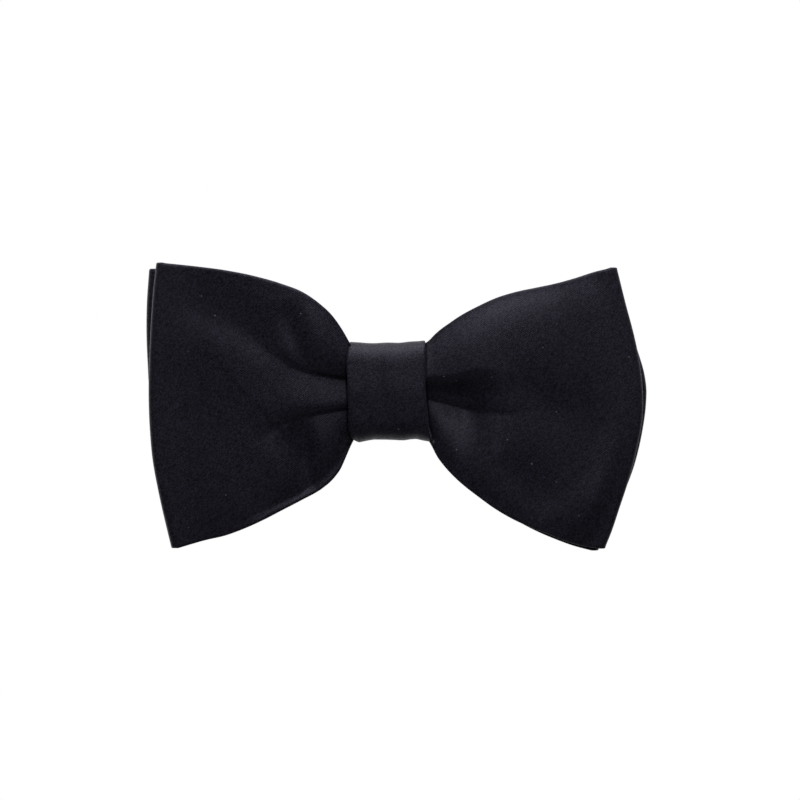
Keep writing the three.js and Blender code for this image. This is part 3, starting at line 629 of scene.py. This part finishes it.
def ringRows(xo, yo, zo, yi, zi, xi, topOut, bottomOut, cloth, side):
    # One closed ring of points for each station: the outer face from bottom to top, a half turn
    # round the top edge, the inner face back down, and a half turn round the bottom edge.
    across, outwards = edgeTurn(loopGrid["edge"])

    def turn(xe, ze, ya, yb, out):  # from Y ya to yb, round the edge at xe and ze
        middle, half = (ya + yb) / 2, (ya - yb) / 2
        return (
            xe[:, None] + cloth / 2 * out[:, :1] * outwards,
            middle[:, None] + half[:, None] * across,
            ze[:, None] + cloth / 2 * out[:, 1:] * outwards,
        )

    topTurn = turn(xo[:, -1], zo[:, -1], yo[:, -1], yi[:, -1], topOut)
    bottomTurn = turn(xo[:, 0], zo[:, 0], yi[:, 0], yo[:, 0], bottomOut)
    x = np.concatenate([xo, topTurn[0], xi[:, ::-1], bottomTurn[0]], 1) * side
    y = np.concatenate([yo, topTurn[1], yi[:, ::-1], bottomTurn[1]], 1)
    z = np.concatenate([zo, topTurn[2], zi[:, ::-1], bottomTurn[2]], 1)
    return np.stack([x, y, z], -1)


def wingRows(loop, sideName, inset=0.0):
    # Rings from the knot out along the front panel, round the fold and back along the rear panel.
    # Inset draws both faces and the edges in, for the interlining.
    side = 1 if sideName == "right" else -1
    cloth = loop["cloth"]
    v = np.linspace(0, 1, loopGrid["across"])
    vInner = np.linspace(0, 1, loopGrid["inside"])
    rows = []
    for isFront, count in ((True, loopGrid["front"]), (False, loopGrid["back"])):
        u = np.linspace(0, 1, count) ** loopGrid["crowding"]
        x, y, z, topOut, bottomOut = panel(loop, sideName, isFront, u, v)
        xi, yi, zi, _, _ = panel(loop, sideName, isFront, u, vInner, strip["innerBlur"])
        toInside = 1 if isFront else -1
        y, yi = y + toInside * inset, yi + toInside * (cloth - inset)
        rows.append(ringRows(x, y, z, yi, zi, xi, topOut, bottomOut, cloth - 2 * inset, side))
    # the fold: both faces turn half a circle about the fold's middle
    angle = np.linspace(0, np.pi, loopGrid["fold"] + 2)[1:-1]
    u = np.array([0.999, 1.0])
    x, _, z, topOut, bottomOut = panel(loop, sideName, True, u, v)
    xi, _, zi, _, _ = panel(loop, sideName, True, u, vInner)
    outer, inner = loop["foldRadius"] - inset, loop["foldRadius"] - cloth + inset
    s, c = np.sin(angle)[:, None], np.cos(angle)[:, None]

    def many(values):  # the last station's, once for each step of the turn
        return np.repeat(values[-1:], len(angle), 0)

    foldRows = ringRows(
        many(x) + outer * s, loop["foldMiddle"] - outer * c + 0 * many(x), many(z),
        loop["foldMiddle"] - inner * c + 0 * many(xi), many(zi), many(xi) + inner * s,
        many(topOut), many(bottomOut), cloth - 2 * inset, side)
    edge = loopGrid["edge"]
    across, inside = loopGrid["across"], loopGrid["inside"]
    # at the fold the edge turns go out with the middle of the cloth
    middle = (outer + inner) / 2 * s
    radial = (outer - inner) / 2 * s
    turned, _ = edgeTurn(edge)
    baseTop, baseBottom = x[-1, -1], x[-1, 0]
    foldRows[:, across:across + edge, 0] = side * (baseTop + middle + radial * turned)
    foldRows[:, across + edge + inside:, 0] = side * (baseBottom + middle - radial * turned)
    return rows[0], foldRows, rows[1]


def loopSkin(loop, name, material, replaced, inset=0.0):
    # The whole strip as a closed band of rings: right wing, back waist, left wing, front waist
    rf, rFold, rb = wingRows(loop, "right", inset)
    lf, lFold, lb = wingRows(loop, "left", inset)
    rb, lb = rb[::-1], lb[::-1]
    t = np.linspace(0, 1, loopGrid["waist"] + 2)[1:-1, None, None]
    backWaist = rb[-1] + (lb[-1] - rb[-1]) * t
    frontWaist = lf[0] + (rf[0] - lf[0]) * t
    rings = np.concatenate([rf, rFold, rb, backWaist, lb[::-1], lFold[::-1], lf[::-1], frontWaist])
    # the weave runs by length along the strip, measured on the way of its middle, and by height
    centre = rings[:, : loopGrid["across"]].mean(1)
    steps = np.linalg.norm(np.diff(centre[:, :2], axis=0), axis=1)
    along = np.concatenate([[0], np.cumsum(steps)])[:, None]
    offset = rings[..., 0] - centre[:, None, 0]
    direction = np.sign(np.gradient(centre[:, 0]))[:, None]
    uv = np.stack([along + offset * direction, rings[..., 2]], -1)
    count, ring = rings.shape[:2]
    piece = newPiece(name, rings, gridFaces(count, ring, True, True), material, "bow", uv)
    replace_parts(piece, replaced)
    return piece, float(along[-1, 0])


for loop, cadName in ((frontLoop, "front_bow"), (backLoop, "back_bow")):
    skin, length = loopSkin(loop, loop["name"] + "Satin", satin, cadName + "_satin")
    loopSkin(
        loop, loop["name"] + "Interlining", felt, cadName + "_interlining",
        strip["liningInset"])
print("bow loops ready")


def bandPath(b):
    # The middle of the band in Y and Z, as straight runs and quarter turns, from the inner end at
    # the back over the top, down the front, under the bottom and up over the first end
    def turn(y, z, r, start, stop):
        angle = np.radians(np.linspace(start, stop, 12))
        return np.stack([y + r * np.cos(angle), z + r * np.sin(angle)], 1)

    r = b["corner"]
    parts = [
        [(b["innerBackY"], -b["lap"])],
        turn(b["innerBackY"] - r, b["topZ"] - r, r, 0, 90),
        turn(b["frontY"] + r, b["topZ"] - r, r, 90, 180),
        [(b["frontY"] - b["swell"], 0)],
        turn(b["frontY"] + r, b["bottomZ"] + r, r, 180, 270),
        turn(b["outerBackY"] - r, b["bottomZ"] + r, r, 270, 360),
        [(b["outerBackY"], b["lap"])],
    ]
    return np.concatenate([np.asarray(p, float) for p in parts])


def bandRings(b, inset=0.0, shorten=0.0):
    # A closed section at each station of the path. Inset draws its faces and edges in, and shorten its ends.
    raw = bandPath(b)
    step = np.concatenate([[0], np.cumsum(np.linalg.norm(np.diff(raw, axis=0), axis=1))])
    s = np.linspace(shorten, step[-1] - shorten, b["stations"])
    path = np.stack([np.interp(s, step, raw[:, 0]), np.interp(s, step, raw[:, 1])], 1)
    for _ in range(b["smoothing"]):  # softens the joins of straight and turn
        path[1:-1] = 0.25 * path[:-2] + 0.5 * path[1:-1] + 0.25 * path[2:]
    tangent = directions(path)
    normal = np.stack([-tangent[:, 1], tangent[:, 0]], 1)  # out of the ring
    normal *= np.sign((normal * (path - (-6, 0))).sum(1, keepdims=True)).clip(-1, 1)
    frontness = ramp(-path[:, 0], 2, 9)  # 0 at the back of the knot and 1 at its front

    def edgeAt(name):
        return b["plainHalf"] + (np.interp(path[:, 1], *np.array(b[name]).T) - b["plainHalf"]) * frontness

    left, right = b["cloth"] / 2 - edgeAt("leftEdge"), edgeAt("rightEdge") - b["cloth"] / 2
    half = b["cloth"] / 2 - inset
    w = np.linspace(0, 1, b["across"])
    x = left[:, None] + (right - left)[:, None] * w
    turned, bulge = edgeTurn(6, b["edgePower"])
    ringX = np.concatenate([x, right[:, None] + half * bulge, x[:, ::-1], left[:, None] - half * bulge], 1)
    lift = np.concatenate([
        half + 0 * x, half * turned + 0 * right[:, None],
        -half + 0 * x, -half * turned + 0 * right[:, None]], 1)
    # the cloth is slightly full between the edges, with fine folds of tension, but flat at the back
    across = (ringX - (left + right)[:, None] / 2) / ((right - left)[:, None] / 2)
    full = b["full"] * (1 - across**2)
    up = path[:, 1:]
    tension = 0.07 * np.sin(ringX / 1.9 + 0.6 * up / 4) + 0.05 * np.sin(ringX / 0.9 + up / 5)
    lift = lift + (full + tension) * ramp(np.abs(path[:, 0] - 1.2), 1.0, 5.0)[:, None]
    y = path[:, :1] + normal[:, :1] * lift
    z = up + normal[:, 1:] * lift
    rise = np.interp(ringX, *np.array(b["topShape"]).T) * ramp(up, 5, 10)
    fall = np.interp(ringX, *np.array(b["bottomShape"]).T) * ramp(-up, 5, 10)
    z = z + (rise + fall) * frontness[:, None]
    rings = np.stack([ringX, y, z], -1)
    uv = np.stack([ringX, np.broadcast_to(s[:, None], ringX.shape)], -1)
    return rings, uv, float(step[-1])


def bandPiece(name, material, replaced, inset=0.0, shorten=0.0):
    rings, uv, length = bandRings(knotBand, inset, shorten)
    count, ring = rings.shape[:2]
    ends = [list(range(ring))[::-1], list(range((count - 1) * ring, count * ring))]
    piece = newPiece(name, rings, gridFaces(count, ring, False, True), material, "bow", uv, ends)
    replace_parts(piece, replaced)
    return piece, length


band, bandLength = bandPiece("knotBandSatin", bandSatin, "knot_band_satin")
bandPiece(
    "knotBandInterlining", felt, "knot_band_interlining",
    knotBand["liningInset"], knotBand["liningShort"])
print("knot band ready, strip", round(bandLength, 1), "mm long")


sewing = {
    "thread": 0.42,  # millimetres thick
    "bindingTurns": 4,
    "bindingPitch": 1.6,
    "bindingHoop": (-12.15, -0.95, -9.35, 9.15),  # front, back, bottom and top of a turn
    "stitches": 6,
    "stitchPitch": 2.6,
}


def hoopPoint(share, y0, y1, z0, z1, power=6):
    # A rounded rectangle as a superellipse: |y|^n + |z|^n is constant round it
    angle = 2 * np.pi * share
    c, s = np.cos(angle), np.sin(angle)
    r = (np.abs(c) ** power + np.abs(s) ** power) ** (-1 / power)
    return (y0 + y1) / 2 + (y1 - y0) / 2 * r * c, (z0 + z1) / 2 + (z1 - z0) / 2 * r * s


def bindingThread(s):
    # Turns laid side by side round the gathered waist
    share = np.linspace(0, s["bindingTurns"], s["bindingTurns"] * 72)
    y, z = hoopPoint(share, *s["bindingHoop"])
    x = (share - s["bindingTurns"] / 2) * s["bindingPitch"]
    path = np.stack([x, y, z], 1)
    piece = tube("waistBindingThread", path, s["thread"] / 2, thread, "bow", 8)
    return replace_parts(piece, "waist_binding_thread")


def closingStitches(s, b):
    # Overcasting: each stitch rises over the lapped end, dips in front of it and slants to the next
    turns = s["stitches"]
    t = np.linspace(0, turns, turns * 40)
    x = (t - turns / 2) * s["stitchPitch"] + 0.35 * np.sin(2 * np.pi * t)
    outer = b["outerBackY"] + b["cloth"] / 2 + s["thread"] / 2
    inner = b["innerBackY"] + b["cloth"] / 2 + s["thread"] / 2
    z = b["lap"] + 0.1 - 1.35 * np.cos(2 * np.pi * t)
    over = ramp(z, b["lap"] + 0.25, b["lap"] + 1.0)
    y = outer + (inner - outer) * over
    path = np.stack([x, y, z], 1)
    piece = tube("knotBandClosingStitches", path, s["thread"] / 2, thread, "bow", 8)
    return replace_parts(piece, "knot_band_closing_stitches")


def tackStitch(side, s):
    # One closed loop of thread, in the box of the CAD's own
    share = np.linspace(0, 1, 64, endpoint=False)
    low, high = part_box(side + "_tack_stitch")
    r = s["thread"] / 2
    y, z = hoopPoint(share, low.y / mm + r, high.y / mm - r, low.z / mm + r, high.z / mm - r, 5)
    x = (low.x + high.x) / 2 / mm + 0.06 * np.sin(2 * np.pi * share)
    piece = tube(side + "TackStitch", np.stack([x, y, z], 1), r, thread, "bow", 8, closed=True)
    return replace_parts(piece, side + "_tack_stitch")


bindingThread(sewing)
closingStitches(sewing, knotBand)
for side in ("left", "right"):
    tackStitch(side, sewing)
print("threads ready")


clip = {
    "hinge": (17.6, 2.7),  # X and Y of the pin, millimetres
    "wire": 0.5,
    "coil": 1.55,
    "turns": 3.5,
    "coilPitch": 0.65,
    "leg": 4.4,  # of the spring, towards the knot
    "edge": 0.14,  # burr taken off the stamped sheet
    "pinEdge": 0.12,  # and off the pins' ends
}


def softenedCopy(node, body, material, edge):
    # The stamped sheet as CAD has it, with the burr taken off its edges
    source = bpy.data.objects[node]
    mesh = source.data.copy()
    mesh.name = node + "Stamped"
    piece = bpy.data.objects.new(node + "Stamped", mesh)
    bpy.context.scene.collection.objects.link(piece)
    weld = piece.modifiers.new("weld", "WELD")
    weld.merge_threshold = 1e-6
    bevel = piece.modifiers.new("burr", "BEVEL")
    bevel.width = edge * mm
    bevel.segments = 2
    bevel.limit_method = "ANGLE"
    bevel.angle_limit = math.radians(35)
    flats = piece.modifiers.new("flats", "WEIGHTED_NORMAL")  # large flats stay flat beside the rounded burr
    flats.weight = 60
    mesh.polygons.foreach_set("use_smooth", [True] * len(mesh.polygons))
    mesh.materials.clear()
    mesh.materials.append(material)
    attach(piece, body)
    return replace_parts(piece, node)


def torsionSpring(side, c):
    # A coil round the pin: the first leg lies on the plate and the last one under the pad
    sign = 1 if side == "right" else -1
    hx, hy = c["hinge"]
    r, halfZ = c["coil"], c["turns"] * c["coilPitch"] / 2
    angle = np.linspace(-np.pi / 2, -np.pi / 2 + 2 * np.pi * c["turns"], 170)
    height = np.linspace(-halfZ, halfZ, len(angle))
    coil = np.stack([hx + r * np.cos(angle), hy + r * np.sin(angle), height], 1)
    t = np.linspace(1, 0, 14)[:-1, None]
    first = coil[0] + (np.array([hx - c["leg"], c["wire"] / 2 + 0.12, -halfZ]) - coil[0]) * t
    last = coil[-1] + (np.array([hx - c["leg"], hy + r + 0.95, halfZ]) - coil[-1]) * t[::-1]
    path = np.concatenate([first, coil, last])
    for _ in range(4):
        path[1:-1] = 0.25 * path[:-2] + 0.5 * path[1:-1] + 0.25 * path[2:]
    path[:, 0] *= sign
    piece = tube(side + "TorsionSpring", path, c["wire"] / 2, wire, None, 12)
    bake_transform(piece)
    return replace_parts(piece, side + "_spring")


softenedCopy("clip_plate", "bow", nickel, clip["edge"])
for side in ("left", "right"):
    softenedCopy(side + "_lever", side + "_jaw", nickel, clip["edge"])
    softenedCopy(side + "_pivot_pin", "bow", nickel, clip["pinEdge"])
    torsionSpring(side, clip)
print("clip ready")


studio = {
    "middle": (2.9, -2.2),  # X and Z that the camera looks at
    "width": 192.4,  # millimetres across the picture, in the plane of the folds
    "distance": 1300,
    "foldDepth": 8,  # millimetres that the folds stand in front of the origin
    "ceiling": 0.4,  # brightness of the studio above the object, level with it and below it
    "horizon": 0.03,
    "below": 0.22,
    "behindLeft": 1.1,  # and behind it, towards either side
    "behindRight": 0.45,
    # place in metres, degrees that the light is tilted forwards, size in metres and watts
    "key": {"place": (0.03, -0.13, 0.84), "tilt": 9, "size": 0.6, "power": 4.6},
    "front": {"place": (0.0, -0.95, 0.85), "tilt": 48, "size": 0.5, "power": 4.6},
    "floorHeight": -0.5,  # metres, low enough to stay below the picture
    "floorHalf": 3.0,
    "floorGlow": 0.45,  # a little light of its own, so that it stays pale and even
}


def areaLight(name, light):
    data = bpy.data.lights.new(name, "AREA")
    data.shape, data.size, data.energy = "SQUARE", light["size"], light["power"]
    lamp = bpy.data.objects.new(name, data)
    lamp.location = light["place"]
    lamp.rotation_euler = (math.radians(light["tilt"]), 0, 0)
    bpy.context.scene.collection.objects.link(lamp)


def addStudio(s):
    scene = bpy.context.scene
    camera = bpy.data.cameras.new("camera")
    camera.sensor_width = 36
    camera.lens = camera.sensor_width * (s["distance"] - s["foldDepth"]) / s["width"]
    camera.clip_start, camera.clip_end = 0.01, 20
    cameraObject = bpy.data.objects.new("camera", camera)
    cameraObject.location = (s["middle"][0] * mm, -s["distance"] * mm, s["middle"][1] * mm)
    cameraObject.rotation_euler = (math.pi / 2, 0, 0)
    scene.collection.objects.link(cameraObject)
    scene.camera = cameraObject

    areaLight("keyAbove", s["key"])
    areaLight("frontBox", s["front"])
    # The world is white to the camera. To the cloth it is a gradient by height, brighter behind.
    world = bpy.data.worlds.new("paleStudio")
    world.use_nodes = True
    tree = world.node_tree
    tree.nodes.clear()
    seen = addNode(tree, "ShaderNodeLightPath")
    place = addNode(tree, "ShaderNodeTexCoord")
    axes = addNode(tree, "ShaderNodeSeparateXYZ", {"Vector": place.outputs["Generated"]})
    height = addNode(
        tree, "ShaderNodeMapRange", {"Value": axes.outputs["Z"]},
        {"From Min": -0.1, "From Max": 1.0, "To Min": s["horizon"], "To Max": s["ceiling"]},
        interpolation_type="SMOOTHSTEP")
    depth = addNode(
        tree, "ShaderNodeMapRange", {"Value": axes.outputs["Z"]},
        {"From Min": -0.45, "From Max": -1.0, "To Min": 0.0, "To Max": s["below"]},
        interpolation_type="SMOOTHSTEP")
    column = addNode(
        tree, "ShaderNodeMath", {0: height.outputs["Result"], 1: depth.outputs["Result"]}, operation="ADD")
    rear = addNode(
        tree, "ShaderNodeMapRange", {"Value": axes.outputs["Y"]}, {"From Min": 0.0, "From Max": 0.5},
        interpolation_type="SMOOTHSTEP")
    behind = addNode(
        tree, "ShaderNodeMapRange", {"Value": axes.outputs["X"]},
        {"From Min": -0.7, "From Max": 0.7, "To Min": s["behindLeft"], "To Max": s["behindRight"]})
    strength = addNode(
        tree, "ShaderNodeMix",
        {"Factor": rear.outputs["Result"], "A": column.outputs["Value"], "B": behind.outputs["Result"]})
    lit = addNode(
        tree, "ShaderNodeBackground", {"Strength": strength.outputs["Result"]}, {"Color": (1, 1, 1, 1)})
    backdrop = addNode(tree, "ShaderNodeBackground", None, {"Color": (1, 1, 1, 1), "Strength": 1.0})
    both = addNode(
        tree, "ShaderNodeMixShader",
        {0: seen.outputs["Is Camera Ray"], 1: lit.outputs["Background"], 2: backdrop.outputs["Background"]})
    addNode(tree, "ShaderNodeOutputWorld", {"Surface": both.outputs["Shader"]})
    scene.world = world
    scene.view_settings.view_transform = "Standard"

    floorMaterial, tree = newMaterial("palePaintedFloor")
    place = addNode(tree, "ShaderNodeTexCoord")
    noise = addNode(
        tree, "ShaderNodeTexNoise", {"Vector": place.outputs["Object"]}, {"Scale": 40.0, "Detail": 4.0})
    colour = colourRamp(tree, noise.outputs["Fac"], "#e2e2e0", "#ebebe9")
    shader = addNode(
        tree, "ShaderNodeBsdfPrincipled", {"Base Color": colour.outputs["Color"]},
        {"Roughness": 0.8, "Emission Color": (1, 1, 1, 1), "Emission Strength": s["floorGlow"]})
    addNode(tree, "ShaderNodeOutputMaterial", {"Surface": shader.outputs["BSDF"]})
    mesh = bpy.data.meshes.new("floor")
    x, z = s["floorHalf"], s["floorHeight"]
    mesh.from_pydata([(-x, -x, z), (x, -x, z), (x, x, z), (-x, x, z)], [], [(0, 1, 2, 3)])
    mesh.materials.append(floorMaterial)
    floor = bpy.data.objects.new("floor", mesh)
    floor.visible_diffuse = floor.visible_glossy = False  # it doesn't light the cloth from below
    scene.collection.objects.link(floor)


addStudio(studio)
print("studio ready")

bpy.context.view_layer.update()
